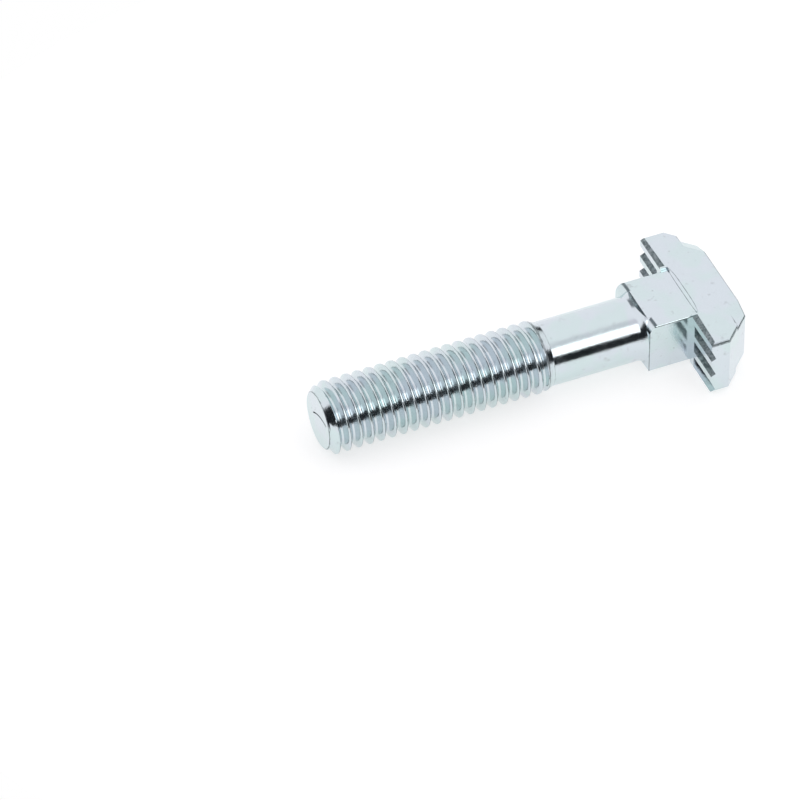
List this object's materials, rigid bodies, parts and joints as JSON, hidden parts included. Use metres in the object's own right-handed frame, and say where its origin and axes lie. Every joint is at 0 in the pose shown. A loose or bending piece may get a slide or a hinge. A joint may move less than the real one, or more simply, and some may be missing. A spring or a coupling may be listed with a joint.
{
  "type": "t slot bolt",
  "caption": "Hammer-head bolt for a profile's T slot: serrated clamping face, flat-sided neck, plain shank, rolled thread to a chamfered tip.",
  "frame": {"origin": "on the bolt's axis, in the clamping plane: the tips of the head's saw teeth and the plain lands beside the neck", "axes": "+X along the bolt from the clamping plane to the threaded tip, Y along the head's crossbar, +Z square to the head's flats; the bolt lies on its flats"},
  "size_m": [0.0457, 0.0178, 0.0078],
  "materials": {
    "zinc_plate": "bright blue-white zinc plating on forged and rolled steel, mirror-like with slight softness"
  },
  "bodies": {
    "root": {"t_slot_bolt": "zinc_plate"}
  },
  "joints": []
}
